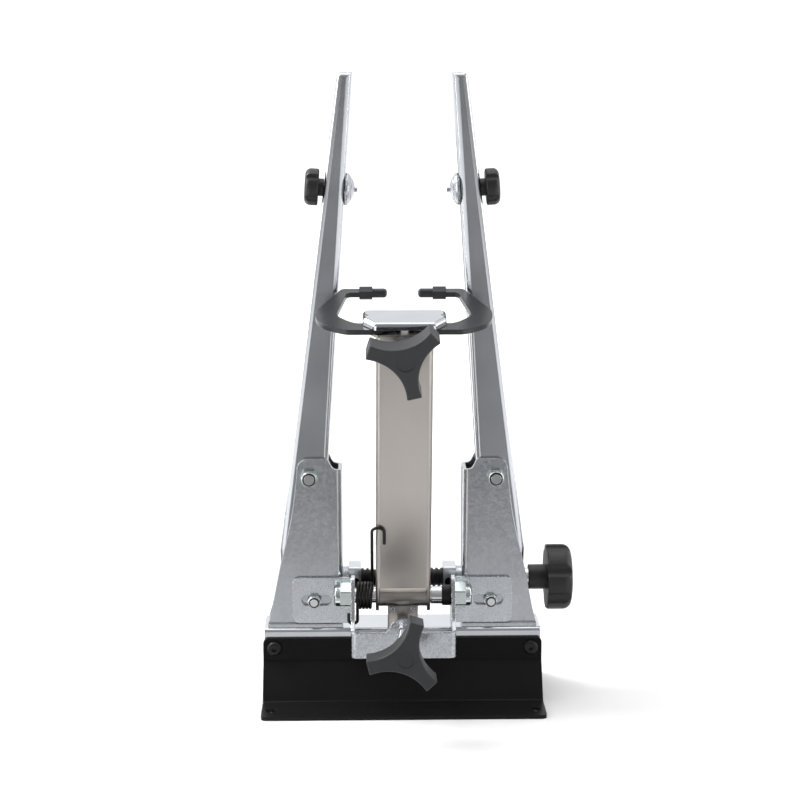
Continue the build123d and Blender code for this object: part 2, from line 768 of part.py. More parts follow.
def make_arm_bracket():
    """Folded bracket: slotted mount plates, ears for the shaft and a front strap with a tab."""
    outer = BRACKET_HALF_WIDTH
    with BuildPart() as bracket:
        with BuildSketch(RIGHT.offset(outer - BRACKET_SHEET)):
            with BuildLine():
                FilletPolyline(
                    (BRACKET_BACK_Y, 98.5), (-24, 98.5), (-26, 104), (-37, 104),
                    (-47, 72), (-55, 66.5), (BRACKET_FRONT_Y, 66.5), (BRACKET_FRONT_Y, 46),
                    (-54, 46), (-45, 61.5), (BRACKET_BACK_Y, 61.5),
                    close=True,
                    radius=(0, 2, 5, 5, 6, 2, 0, 0, 3, 6, 0),
                )
            make_face()
            with Locations((SHAFT_Y - SPRING_COIL_R, EAR_NOTCH_TOP - 8)):
                SlotOverall(16, 2 * SPRING_WIRE_R + 0.6, rotation=90, mode=Mode.SUBTRACT)
        extrude(amount=BRACKET_SHEET)
        with BuildSketch(FRONT.offset(FOOT_HALF_DEPTH)):
            with Locations((64.5, 79.75)):
                Rectangle(47, 37.5)
            with Locations((68.5, BRACKET_BOLT_Z)):
                SlotOverall(24, 8.6, mode=Mode.SUBTRACT)
        extrude(amount=BRACKET_SHEET)
        plate_corners = bracket.edges().filter_by(Axis.Y).group_by(Axis.X)[-1]
        fillet(plate_corners, radius=5.5)
        mirror(about=Plane.YZ)
        with BuildSketch(FRONT.offset(-BRACKET_FRONT_Y - BRACKET_SHEET)):
            with Locations((0, 56.25)):
                Rectangle(2 * outer, 20.5)
            with BuildLine():
                Line((-15.5, 66), (-15.5, 66.5))
                Spline((-15.5, 66.5), (-8.5, 74.6), tangents=((1, 0.1), (1, 0.9)))
                ThreePointArc((-8.5, 74.6), (0, 77.6), (8.5, 74.6))
                Spline((8.5, 74.6), (15.5, 66.5), tangents=((1, -0.9), (1, -0.1)))
                Line((15.5, 66.5), (15.5, 66))
                Line((15.5, 66), (-15.5, 66))
            make_face()
        extrude(amount=BRACKET_SHEET)
        strap_bends = bracket.edges().filter_by(Axis.Z).group_by(Axis.Y)[0]
        fillet(strap_bends, radius=4.5)
        with BuildSketch(RIGHT.offset(-outer - 1)):
            with Locations((SHAFT_Y, SHAFT_Z)):
                Circle(SHAFT_R + 0.05)
        extrude(amount=2 * outer + 2, mode=Mode.SUBTRACT)
        with BuildSketch(FRONT.offset(-BRACKET_FRONT_Y)):
            with Locations((0, ARM_SCREW_Z)):
                Circle(ARM_SCREW_R + 0.4)
        extrude(amount=-2 * BRACKET_SHEET, mode=Mode.SUBTRACT)
    return bracket.part


save(make_arm_bracket(), "arm_bracket")

bracket_face_y = BRACKET_BACK_Y - BRACKET_SHEET
bracket_bolt = countersunk_screw(
    moved_to(BACK, BRACKET_BOLT_X, BRACKET_BACK_Y + FOOT_SHEET, BRACKET_BOLT_Z),
    5.5, 3, FOOT_SHEET + BRACKET_SHEET + 7,
)
save(both_sides(bracket_bolt), "bracket_bolts")
bracket_nut = lock_nut(
    moved_to(FRONT, BRACKET_BOLT_X, bracket_face_y, BRACKET_BOLT_Z), 10, 6, 3
)
save(both_sides(bracket_nut), "bracket_nuts")

shaft_half = BRACKET_HALF_WIDTH + 13
save(rod(moved_to(RIGHT, -shaft_half, SHAFT_Y, SHAFT_Z), SHAFT_R, 2 * shaft_half, 0.8),
     "cross_shaft")
shaft_nut = lock_nut(moved_to(RIGHT, BRACKET_HALF_WIDTH, SHAFT_Y, SHAFT_Z), 19, 13, SHAFT_R, 30)
save(both_sides(shaft_nut), "shaft_nuts")
save(tube(moved_to(RIGHT, 22, SHAFT_Y, SHAFT_Z), 7, SHAFT_R + 0.05, 9), "shaft_spacer")
save(tube(moved_to(RIGHT, 31, SHAFT_Y, SHAFT_Z), 8.2, SHAFT_R + 0.05, 7), "shaft_bush")
save(tube(moved_to(BACK, 0, BRACKET_FRONT_Y + BRACKET_SHEET, ARM_SCREW_Z), 6.5, ARM_SCREW_R + 0.05,
          6.5), "bracket_insert")


def make_torsion_spring():
    """Coil envelope round the shaft with one leg hooked on the arm and one on the ear."""
    leg_front = -ARM_HALF_DEPTH - SPRING_WIRE_R - 0.15
    hook_top = SPRING_NOTCH_H + 0.2
    coil_front = SHAFT_Y - SPRING_COIL_R
    ear_hook = EAR_NOTCH_TOP - SPRING_WIRE_R - 0.3
    arm_leg = [
        ARM.from_local_coords(point) for point in (
            (-23.8, SPRING_COIL_R, 0), (-24.6, leg_front, hook_top),
            (-15, leg_front, hook_top), (-15, leg_front, hook_top - 14),
        )
    ]
    ear_leg = [
        (-36, coil_front, SHAFT_Z), (-36, coil_front, ear_hook),
        (-42.9, coil_front, ear_hook), (-42.9, coil_front, ear_hook + 8),
    ]
    with BuildPart() as spring:
        add(tube(moved_to(RIGHT, -37.3, SHAFT_Y, SHAFT_Z), SPRING_COIL_R + SPRING_WIRE_R,
                 SPRING_COIL_R - SPRING_WIRE_R, 14.4))
        for leg, bend in ((arm_leg, 4.4), (ear_leg, 2.6)):
            with BuildLine() as route:
                FilletPolyline(*leg, radius=bend)
            with BuildSketch(Plane(route.line @ 0, z_dir=route.line % 0)):
                Circle(SPRING_WIRE_R)
            sweep(path=route.line)
    return spring.part


save(make_torsion_spring(), "torsion_spring")

# ---------------------------------------------------------------- arm


def make_caliper_arm():
    """Channel open to the back, with pointed cheeks round the shaft and a spring notch."""
    lowest = -12.3
    face_bottom = 12.6
    half = ARM_HALF_WIDTH
    depth = ARM_HALF_DEPTH
    with BuildPart() as arm:
        with BuildSketch(on_arm(Plane.XY.offset(lowest))):
            with BuildLine():
                FilletPolyline(
                    (-half, depth), (-half, -depth), (half, -depth), (half, depth), radius=3.5
                )
                offset(amount=ARM_SHEET, side=Side.LEFT)
            make_face()
        extrude(amount=ARM_TOP - lowest)
        with BuildSketch(on_arm(Plane.YZ.offset(-half))):
            with BuildLine():
                FilletPolyline(
                    (-depth, ARM_TOP), (depth, ARM_TOP), (depth, 0.2), (3.5, lowest),
                    (-3.5, lowest), (-depth, 0.2),
                    close=True, radius=(0, 0, 5, 3, 3, 5),
                )
            make_face()
        extrude(amount=2 * half, mode=Mode.INTERSECT)
        with BuildSketch(on_arm(Plane.XY.offset(lowest))):
            Rectangle(2 * (half - ARM_SHEET), 2 * depth)
        extrude(amount=face_bottom - lowest, mode=Mode.SUBTRACT)
        with BuildSketch(on_arm(Plane.YZ.offset(-half))):
            Circle(SHAFT_R + 0.06)
        extrude(amount=2 * half, mode=Mode.SUBTRACT)
        with BuildSketch(on_arm(FRONT.offset(depth))):
            with Locations((-half, SPRING_NOTCH_H)):
                Rectangle(5, 3.4)
            with Locations((0, CALIPER_SCREW_H)):
                Circle(5.5)
        extrude(amount=-ARM_SHEET, mode=Mode.SUBTRACT)
    return arm.part


def make_arm_tail():
    """Folded tail below the shaft that the adjusting screw pushes on."""
    inner = TAIL_HALF_WIDTH - ARM_SHEET
    with BuildPart() as tail:
        with BuildSketch(on_arm(Plane.XY.offset(-TAIL_LENGTH))):
            with Locations((0, TAIL_FACE_Y + 4.25)):
                RectangleRounded(2 * TAIL_HALF_WIDTH, 8.5, 1.8)
            with Locations((0, TAIL_FACE_Y + ARM_SHEET + 4)):
                Rectangle(2 * inner, 8, mode=Mode.SUBTRACT)
        extrude(amount=TAIL_LENGTH - 3)
        with BuildSketch(on_arm(Plane.YZ.offset(-TAIL_HALF_WIDTH))):
            Circle(SLEEVE_R)
        extrude(amount=2 * TAIL_HALF_WIDTH, mode=Mode.SUBTRACT)
        with BuildSketch(on_arm(FRONT.offset(-TAIL_FACE_Y))):
            with Locations((-RIVET_X, RIVET_H), (RIVET_X, RIVET_H)):
                Circle(0.95)
        extrude(amount=-ARM_SHEET, mode=Mode.SUBTRACT)
    return tail.part


def make_head_plate():
    """Lower plate of the head, welded on the arm and slotted for the slider pins."""
    with BuildPart() as plate:
        with BuildSketch(on_arm(Plane.XY.offset(ARM_TOP))):
            with BuildLine():
                FilletPolyline(
                    (-28.5, 12), (28.5, 12), (28.5, -5), (21, -14), (-21, -14), (-28.5, -5),
                    close=True, radius=(4, 4, 2, 2, 2, 2),
                )
            make_face()
            with Locations((-PUSH_X, PUSH_Y + 0.7), (PUSH_X, PUSH_Y + 0.7)):
                SlotOverall(9.8, 3.8, rotation=90, mode=Mode.SUBTRACT)
        extrude(amount=HEAD_PLATE_TOP - ARM_TOP)
    return plate.part


def make_head_cover():
    """Bright cover over the caliper roots with a folded lip at the front and sides."""
    outline = [
        (-31, 13.2), (31, 13.2), (31, -5.3), (22.2, -16.8), (-22.2, -16.8), (-31, -5.3),
    ]
    with BuildPart() as cover:
        with BuildSketch(on_arm(Plane.XY.offset(COVER_TOP - COVER_LIP))):
            with BuildLine():
                FilletPolyline(*outline, close=True, radius=(5, 5, 3.5, 3.5, 3.5, 3.5))
            make_face()
        extrude(amount=COVER_LIP)
        top_rim = cover.faces().sort_by(lambda face: ARM.to_local_coords(face.center()).Z)[-1].edges()
        fillet(top_rim, radius=COVER_BEND)
        with BuildSketch(on_arm(Plane.XY.offset(COVER_TOP - COVER_LIP))):
            with BuildLine():
                Polyline(
                    (-40, 20), (-40, -4.5), (-28.9, -4.5), (-20.6, -14.9), (20.6, -14.9),
                    (28.9, -4.5), (40, -4.5), (40, 20), close=True,
                )
            make_face()
        extrude(amount=COVER_LIP - COVER_SHEET, mode=Mode.SUBTRACT)
        with BuildSketch(on_arm(Plane.XY.offset(COVER_TOP - COVER_LIP))):
            with Locations((-28.2, 1), (28.2, 1)):
                Circle(1.3)
        extrude(amount=COVER_LIP, mode=Mode.SUBTRACT)
    return cover.part


def make_caliper_slider():
    """Block behind the arm's face that the screw moves, with two pins for the calipers."""
    block_top = ARM_TOP - 0.4
    with BuildPart() as slider:
        with BuildSketch(on_arm(Plane.XY.offset(block_top - 14))):
            with Locations((0, SLIDER_FRONT_Y + 4)):
                RectangleRounded(17, 8, 1.5)
        extrude(amount=14)
        with BuildSketch(on_arm(Plane.XY.offset(block_top - 3))):
            with Locations((-PUSH_X, PUSH_Y), (PUSH_X, PUSH_Y)):
                Circle(PUSH_R)
        extrude(amount=CALIPER_BOTTOM + CALIPER_SHEET - block_top + 3 - 0.5)
        with BuildSketch(on_arm(FRONT.offset(-SLIDER_FRONT_Y))):
            with Locations((0, CALIPER_SCREW_H)):
                Circle(3.05)
        extrude(amount=-5, mode=Mode.SUBTRACT)
    return slider.part


def make_left_caliper():
    """Flat C-shaped finger: pivot eye, lever to the slider and a bar that ends at the tip."""
    with BuildPart() as caliper:
        with BuildSketch(on_arm(Plane.XY.offset(CALIPER_BOTTOM))):
            with BuildLine():
                Line((-33.5, 72.2), (-44, 72.2))
                ThreePointArc((-44, 72.2), (-47.2, 71), (-48.8, 68))
                Line((-48.8, 68), (-64.9, 29.5))
                Spline((-64.9, 29.5), (-66.4, 18), (-61, -0.6), (-46, -12.1), (-27, -13.6),
                       tangents=((-0.38, -1), (1, 0)))
                Spline((-27, -13.6), (-16, -11), (-9.5, LEVER_FRONT_Y),
                       tangents=((1, 0), (1, 0.3)))
                Line((-9.5, LEVER_FRONT_Y), (-2.6, LEVER_FRONT_Y))
                Line((-2.6, LEVER_FRONT_Y), (-2.6, 1.6))
                Line((-2.6, 1.6), (-12, 2.6))
                Spline((-12, 2.6), (-22, 2.6), (-34, -0.2), (-45.6, 8.8), (-49.8, 23.6),
                       tangents=((-1, 0.1), (0.15, 1)))
                Line((-49.8, 23.6), (-43.6, 59.8))
                ThreePointArc((-43.6, 59.8), (-42.3, 62.6), (-39.6, 63.8))
                Line((-39.6, 63.8), (-33.5, 63.8))
                Line((-33.5, 63.8), (-33.5, 72.2))
            make_face()
            with Locations((-CALIPER_PIVOT_X, CALIPER_PIVOT_Y)):
                Circle(CALIPER_PIN_R + 0.06, mode=Mode.SUBTRACT)
        extrude(amount=CALIPER_SHEET)
        with BuildSketch(on_arm(Plane.XY.offset(CALIPER_BOTTOM + CALIPER_SHEET))):
            with Locations((-SPRING_POST_X, 0)):
                Circle(1)
        extrude(amount=2.8)
    return caliper.part


def make_left_caliper_tip():
    """Hexagon clamp on the end of the bar with a round-nosed probe."""
    middle = CALIPER_BOTTOM + CALIPER_SHEET / 2
    clamp_start = -33.5
    probe_start = -23.4
    probe_end = -12
    probe_r = 3.6
    with BuildPart() as tip:
        with BuildSketch(on_arm(moved_to(RIGHT, clamp_start, TIP_Y, middle))):
            RegularPolygon(radius=4.7, side_count=6, major_radius=False, rotation=30)
        extrude(amount=probe_start - clamp_start)
        with BuildSketch(on_arm(moved_to(RIGHT, probe_start, TIP_Y, middle))):
            Circle(probe_r)
        extrude(amount=probe_end - probe_start)
        nose = tip.edges().filter_by(GeomType.CIRCLE).sort_by(Axis.X)[-1]
        fillet(nose, radius=2.6)
    return tip.part


save(make_caliper_arm(), "caliper_arm")
save(tube(on_arm(RIGHT.offset(-ARM_HALF_WIDTH + ARM_SHEET)), SLEEVE_R, SHAFT_R + 0.06,
          2 * (ARM_HALF_WIDTH - ARM_SHEET)), "arm_sleeve")
save(make_arm_tail(), "arm_tail")

with BuildPart() as tail_rivets:
    for rivet_x in (-RIVET_X, RIVET_X):
        add(button_screw(on_arm(moved_to(FRONT, rivet_x, TAIL_FACE_Y, RIVET_H)), 1.9, 1, 0.9, 2.5))
save(tail_rivets.part, "tail_rivets")

save(make_head_plate(), "head_plate")
save(make_head_cover(), "head_cover")

head_post = tube(on_arm(moved_to(Plane.XY, 14, 8.4, HEAD_PLATE_TOP)), 3.2, 1.5,
                 COVER_TOP - COVER_SHEET - HEAD_PLATE_TOP)
save(both_sides(head_post), "head_posts")


def make_caliper_pivot():
    """Shoulder pin with a spacing collar that keeps the caliper down on its plate."""
    cover_under = COVER_TOP - COVER_SHEET
    with BuildPart() as pin:
        with BuildSketch(on_arm(moved_to(Plane.XY, CALIPER_PIVOT_X, CALIPER_PIVOT_Y, HEAD_PLATE_TOP))):
            Circle(CALIPER_PIN_R)
        extrude(amount=cover_under - HEAD_PLATE_TOP)
        collar_bottom = CALIPER_BOTTOM + CALIPER_SHEET + 0.2
        with BuildSketch(on_arm(moved_to(Plane.XY, CALIPER_PIVOT_X, CALIPER_PIVOT_Y, collar_bottom))):
            Circle(5)
        extrude(amount=cover_under - collar_bottom)
    return pin.part


save(both_sides(make_caliper_pivot()), "caliper_pivots")
save(tube(on_arm(moved_to(FRONT, 0, -ARM_HALF_DEPTH + ARM_SHEET, CALIPER_SCREW_H)), 5.45,
          CALIPER_SCREW_R + 0.05, ARM_SHEET + 1.9), "screw_collar")
save(make_caliper_slider(), "caliper_slider")

left_caliper = make_left_caliper()
save(left_caliper, "left_caliper")
save(left_hand(left_caliper), "right_caliper")
left_caliper_tip = make_left_caliper_tip()
save(left_caliper_tip, "left_caliper_tip")
save(left_hand(left_caliper_tip), "right_caliper_tip")

spring_height = CALIPER_BOTTOM + CALIPER_SHEET + 1.7
spring_half = SPRING_POST_X - 1.2
save(tube(on_arm(moved_to(RIGHT, -spring_half, 0, spring_height)), 1.5, 0.8, 2 * spring_half, 0.2),
     "caliper_spring")


def make_caliper_screw():
    """Screw with a plain tip that turns in the slider."""
    slider_socket = SLIDER_FRONT_Y + 4.8
    with BuildPart() as screw:
        with BuildSketch(on_arm(moved_to(FRONT, 0, SLIDER_FRONT_Y - 0.3, CALIPER_SCREW_H))):
            Circle(CALIPER_SCREW_R)
        extrude(amount=SLIDER_FRONT_Y - 0.3 - CALIPER_KNOB_FRONT - TRI_KNOB_WALL)
        with BuildSketch(on_arm(moved_to(FRONT, 0, slider_socket, CALIPER_SCREW_H))):
            Circle(3)
        extrude(amount=5.5)
    return screw.part


save(make_caliper_screw(), "caliper_screw")
save(tri_lobe_knob(on_arm(moved_to(FRONT, 0, CALIPER_KNOB_FRONT, CALIPER_SCREW_H)), 43,
                   CALIPER_SCREW_R), "caliper_knob")


# ---------------------------------------------------------------- arm screw


def make_arm_screw_pad():
    """Round-nosed pad that stays still while the screw turns in its socket."""
    with BuildPart() as pad:
        with BuildSketch(moved_to(FRONT, 0, PAD_NOSE_Y, ARM_SCREW_Z)):
            Circle(PAD_R)
        extrude(amount=PAD_LENGTH)
        nose = pad.edges().filter_by(GeomType.CIRCLE).sort_by(Axis.Y)[-1]
        fillet(nose, radius=PAD_R - 0.05)
        with BuildSketch(moved_to(FRONT, 0, PAD_NOSE_Y - PAD_LENGTH, ARM_SCREW_Z)):
            Circle(2.55)
        extrude(amount=-6, mode=Mode.SUBTRACT)
    return pad.part


def make_arm_screw():
    """Long adjusting screw with a plain tip for the pad."""
    screw_start = PAD_NOSE_Y - PAD_LENGTH - 0.3
    with BuildPart() as screw:
        with BuildSketch(moved_to(FRONT, 0, screw_start, ARM_SCREW_Z)):
            Circle(ARM_SCREW_R)
        extrude(amount=screw_start - ARM_KNOB_FRONT_Y - TRI_KNOB_WALL)
        with BuildSketch(moved_to(FRONT, 0, screw_start + 6, ARM_SCREW_Z)):
            Circle(2.5)
        extrude(amount=6.5)
    return screw.part


save(make_arm_screw_pad(), "arm_screw_pad")
save(make_arm_screw(), "arm_screw")
save(tri_lobe_knob(moved_to(FRONT, 0, ARM_KNOB_FRONT_Y, ARM_SCREW_Z), 73, ARM_SCREW_R),
     "arm_knob")
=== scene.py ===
import json
import math

import bmesh
import bpy
from mathutils import Matrix, Vector


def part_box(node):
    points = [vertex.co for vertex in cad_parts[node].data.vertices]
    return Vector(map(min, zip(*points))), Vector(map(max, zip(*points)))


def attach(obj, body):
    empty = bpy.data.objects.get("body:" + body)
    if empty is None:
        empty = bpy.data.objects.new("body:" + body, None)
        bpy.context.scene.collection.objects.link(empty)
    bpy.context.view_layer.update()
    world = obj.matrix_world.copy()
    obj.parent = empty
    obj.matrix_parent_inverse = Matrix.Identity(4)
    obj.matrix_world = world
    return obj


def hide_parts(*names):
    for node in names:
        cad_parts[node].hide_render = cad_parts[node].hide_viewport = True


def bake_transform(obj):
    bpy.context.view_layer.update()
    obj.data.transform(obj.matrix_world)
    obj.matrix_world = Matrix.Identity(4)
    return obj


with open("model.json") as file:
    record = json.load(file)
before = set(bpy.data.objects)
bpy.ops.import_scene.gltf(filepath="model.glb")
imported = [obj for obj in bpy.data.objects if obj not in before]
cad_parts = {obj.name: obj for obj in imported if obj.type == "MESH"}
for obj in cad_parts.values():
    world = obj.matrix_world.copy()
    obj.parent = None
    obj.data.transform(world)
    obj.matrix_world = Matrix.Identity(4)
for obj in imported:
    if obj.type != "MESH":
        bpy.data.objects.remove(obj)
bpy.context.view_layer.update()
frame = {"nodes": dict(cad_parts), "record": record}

MM = 0.001
LEAN = math.radians(13)  # the arm's lean towards the user at rest

# ------------------------------------------------------------------ node helpers

NOISE_LOW = 0.3  # most values of a noise texture lie between these two
NOISE_HIGH = 0.7
BEVEL_SAMPLES = 4


def shade(color, factor):
    return tuple(min(1.0, channel * factor) for channel in color)


class Graph:
    """Short names for building one Principled material."""

    def __init__(self, name):
        self.material = bpy.data.materials.new(name)
        self.material.use_nodes = True
        self.nodes = self.material.node_tree.nodes
        self.links = self.material.node_tree.links
        self.nodes.clear()
        self.shader = self.nodes.new("ShaderNodeBsdfPrincipled")
        output = self.nodes.new("ShaderNodeOutputMaterial")
        self.link(self.shader.outputs["BSDF"], output.inputs["Surface"])
        self.coordinates = self.nodes.new("ShaderNodeTexCoord").outputs["Object"]

    def link(self, source, target):
        self.links.new(source, target)

    def feed(self, name, source):
        """Links a changing value to one of the shader's sockets."""
        self.link(source, self.shader.inputs[name])

    def put(self, **sockets):
        """Sets constant values on the shader's own sockets."""
        for name, value in sockets.items():
            self.shader.inputs[name.replace("_", " ")].default_value = value

    def stretched(self, scale):
        """The object's coordinates with a scale for each axis."""
        mapping = self.nodes.new("ShaderNodeMapping")
        mapping.inputs["Scale"].default_value = scale
        self.link(self.coordinates, mapping.inputs["Vector"])
        return mapping.outputs["Vector"]

    def noise(self, scale, detail, roughness=0.5, vector=None):
        node = self.nodes.new("ShaderNodeTexNoise")
        node.inputs["Scale"].default_value = scale
        node.inputs["Detail"].default_value = detail
        node.inputs["Roughness"].default_value = roughness
        self.link(vector or self.coordinates, node.inputs["Vector"])
        return node.outputs["Fac"]

    def cells(self, scale):
        """A value of its own for each cell of a Voronoi pattern."""
        node = self.nodes.new("ShaderNodeTexVoronoi")
        node.inputs["Scale"].default_value = scale
        self.link(self.coordinates, node.inputs["Vector"])
        separate = self.nodes.new("ShaderNodeSeparateColor")
        self.link(node.outputs["Color"], separate.inputs["Color"])
        return separate.outputs["Red"]

    def axis(self, name):
        """The object's own X, Y or Z coordinate."""
        node = self.nodes.new("ShaderNodeSeparateXYZ")
        self.link(self.coordinates, node.inputs["Vector"])
        return node.outputs[name]

    def remap(self, value, low_in, high_in, low_out, high_out):
        node = self.nodes.new("ShaderNodeMapRange")
        node.inputs["From Min"].default_value = low_in
        node.inputs["From Max"].default_value = high_in
        node.inputs["To Min"].default_value = low_out
        node.inputs["To Max"].default_value = high_out
        self.link(value, node.inputs["Value"])
        return node.outputs["Result"]

    def mix(self, factor, low, high):
        """A colour between two. The factor is a socket or a float, a colour a socket or a tuple."""
        node = self.nodes.new("ShaderNodeMix")
        node.data_type = "RGBA"
        if isinstance(factor, float):
            node.inputs["Factor"].default_value = factor
        else:
            self.link(factor, node.inputs["Factor"])
        for value, socket in ((low, node.inputs["A"]), (high, node.inputs["B"])):
            if isinstance(value, tuple):
                socket.default_value = (*value, 1.0)
            else:
                self.link(value, socket)
        return node.outputs["Result"]

    def tinted(self, noise, color, dark, light, low=NOISE_LOW, high=NOISE_HIGH):
        """The colour times a factor that a noise moves between dark and light."""
        factor = self.remap(noise, low, high, 0.0, 1.0)
        return self.mix(factor, shade(color, dark), shade(color, light))

    def bump(self, height, distance, strength, edge):
        """Surface texture from a height; the piece's edges look rounded by the edge radius."""
        node = self.nodes.new("ShaderNodeBump")
        node.inputs["Distance"].default_value = distance
        node.inputs["Strength"].default_value = strength
        self.link(height, node.inputs["Height"])
        bevel = self.nodes.new("ShaderNodeBevel")
        bevel.samples = BEVEL_SAMPLES
        bevel.inputs["Radius"].default_value = edge
        self.link(bevel.outputs["Normal"], node.inputs["Normal"])
        self.feed("Normal", node.outputs["Normal"])


# ------------------------------------------------------------------ materials

SHEET_EDGE = 0.8 * MM
STRAP_EDGE = 0.9 * MM
PAINT_EDGE = 0.6 * MM
DRAWN_DEPTH = 0.002 * MM
SPANGLE_DEPTH = 0.015 * MM
MOTTLE_DEPTH = 0.01 * MM
STRAP_FRONT_Y = -0.058
STRAP_BACK_Y = -0.056
ARM_DARK_Z = 0.09
ARM_LIGHT_Z = 0.18
# Painted shade on the arm: how far off its middle the darkening of its two side bends starts and
# ends
ARM_BEND_SHADE_START = 17.5 * MM
ARM_BEND_SHADE_END = 20.5 * MM
# Height over which the base's black paint is given painted shade
BASE_SHADE_KNEE_Z = 31 * MM
KNEE_BLUR = 0.5 * MM


def plated(name, color, rough, patch_scale, patch_depth, streak, edge=SHEET_EDGE):
    """Plated sheet or bar: soft patches, faint drawn streaks and a fine grain."""
    g = Graph(name)
    g.put(Metallic=1.0)
    patches = g.noise(patch_scale, detail=4.0, roughness=0.55)
    streaks = g.noise(1.0, detail=3.0, roughness=0.6, vector=g.stretched(streak))
    tone = g.tinted(patches, color, 1 - patch_depth, 1 + patch_depth)
    fine = g.tinted(streaks, color, 0.96, 1.04)
    g.feed("Base Color", g.mix(0.4, tone, fine))
    g.feed("Roughness", g.remap(patches, NOISE_LOW, NOISE_HIGH, rough * 0.85, rough * 1.15))
    g.bump(streaks, DRAWN_DEPTH, 0.5, edge)
    return g.material


def spangled(name, color, rough, cell_scale, contrast):
    """Zinc plate with a speckle of small crystals under soft clouds."""
    g = Graph(name)
    g.put(Metallic=1.0)
    crystals = g.cells(cell_scale)
    clouds = g.noise(45.0, detail=4.0, roughness=0.65)
    speckle = g.mix(crystals, shade(color, 1 - contrast), shade(color, 1 + contrast))
    cloud = g.tinted(clouds, color, 0.88, 1.1)
    g.feed("Base Color", g.mix(0.45, speckle, cloud))
    g.feed("Roughness", g.remap(crystals, 0.0, 1.0, rough * 0.85, rough * 1.2))
    g.bump(clouds, SPANGLE_DEPTH, 0.4, SHEET_EDGE)
    return g.material


def bracket_zinc(name, color):
    """Zinc sheet that is smooth on the mount plates and mottled on the front strap."""
    g = Graph(name)
    g.put(Metallic=1.0)
    strap = g.remap(g.axis("Y"), STRAP_FRONT_Y, STRAP_BACK_Y, 1.0, 0.0)
    mottle = g.noise(420.0, detail=4.0, roughness=0.7)
    clouds = g.noise(70.0, detail=3.0)
    smooth_tone = g.tinted(clouds, color, 0.95, 1.05)
    strap_tone = g.tinted(mottle, color, 0.8, 1.1, low=0.35, high=0.65)
    g.feed("Base Color", g.mix(strap, smooth_tone, strap_tone))
    g.feed("Roughness", g.remap(mottle, NOISE_LOW, NOISE_HIGH, 0.2, 0.3))
    g.bump(mottle, MOTTLE_DEPTH, 0.4, STRAP_EDGE)
    return g.material


def painted(name, color, rough, peel_scale, peel_depth, gloss=0.5, metal=0.0, shade_knee=None):
    """Paint or plastic: faint colour drift and a fine texture; painted shade darkens it over a
    given height.
    """
    g = Graph(name)
    g.put(Specular_IOR_Level=gloss, Metallic=metal)
    drift = g.noise(40.0, detail=3.0)
    tone = g.mix(drift, shade(color, 0.8), shade(color, 1.2))
    # Painted shade: over that height the colour drops to 0.3 of itself, as on the base plate's
    # upper band
    if shade_knee:
        shaded_above = g.remap(g.axis("Z"), shade_knee - KNEE_BLUR, shade_knee + KNEE_BLUR, 0.0, 1.0)
        tone = g.mix(shaded_above, tone, shade(color, 0.3))
    g.feed("Base Color", tone)
    peel = g.noise(peel_scale, detail=3.0, roughness=0.6)
    g.feed("Roughness", g.remap(peel, NOISE_LOW, NOISE_HIGH, rough * 0.9, rough * 1.15))
    g.bump(peel, peel_depth, 0.6, PAINT_EDGE)
    return g.material


def warm_nickel(name, color):
    """Satin nickel, darker towards the arm's lower end, with painted shade along its two bends."""
    g = Graph(name)
    g.put(Metallic=1.0)
    height = g.remap(g.axis("Z"), ARM_DARK_Z, ARM_LIGHT_Z, 0.0, 1.0)
    clouds = g.noise(26.0, detail=3.0, vector=g.stretched((1.0, 1.0, 0.3)))
    grain = g.noise(1.0, detail=2.0, roughness=0.6, vector=g.stretched((900.0, 300.0, 25.0)))
    # Painted shade: the colour darkens to half its value along the two side bends, where the sheet
    # turns sideways
    off_centre = g.nodes.new("ShaderNodeMath")
    off_centre.operation = "ABSOLUTE"
    g.link(g.axis("X"), off_centre.inputs[0])
    bend_shade = g.remap(off_centre.outputs["Value"], ARM_BEND_SHADE_START, ARM_BEND_SHADE_END, 0.0, 1.0)
    body = g.mix(height, shade(color, 0.62), g.mix(bend_shade, color, shade(color, 0.5)))
    cloud = g.tinted(clouds, color, 0.86, 1.08)
    g.feed("Base Color", g.mix(0.25, body, cloud))
    g.feed("Roughness", g.remap(clouds, 0.25, 0.75, 0.3, 0.36))
    g.bump(grain, DRAWN_DEPTH, 0.5, SHEET_EDGE)
    return g.material


ZINC = (0.57, 0.59, 0.62)
CHROME = (0.76, 0.77, 0.79)
COVER_CHROME = (0.60, 0.63, 0.66)
NICKEL = (0.66, 0.62, 0.58)
NUT_ZINC = (0.66, 0.72, 0.71)
BLACK_PAINT = (0.010, 0.0095, 0.0095)
BLACK_OXIDE = (0.018, 0.017, 0.017)
CALIPER_GREY = (0.024, 0.025, 0.029)
BLACK_PLASTIC = (0.009, 0.009, 0.010)
GREY_PLASTIC = (0.024, 0.026, 0.029)

# Scales of the drawn grain: low along the streaks, high across them
LONG_STREAKS = (900.0, 900.0, 12.0)
CROSS_STREAKS = (12.0, 900.0, 900.0)
EVEN_GRAIN = (700.0, 700.0, 700.0)

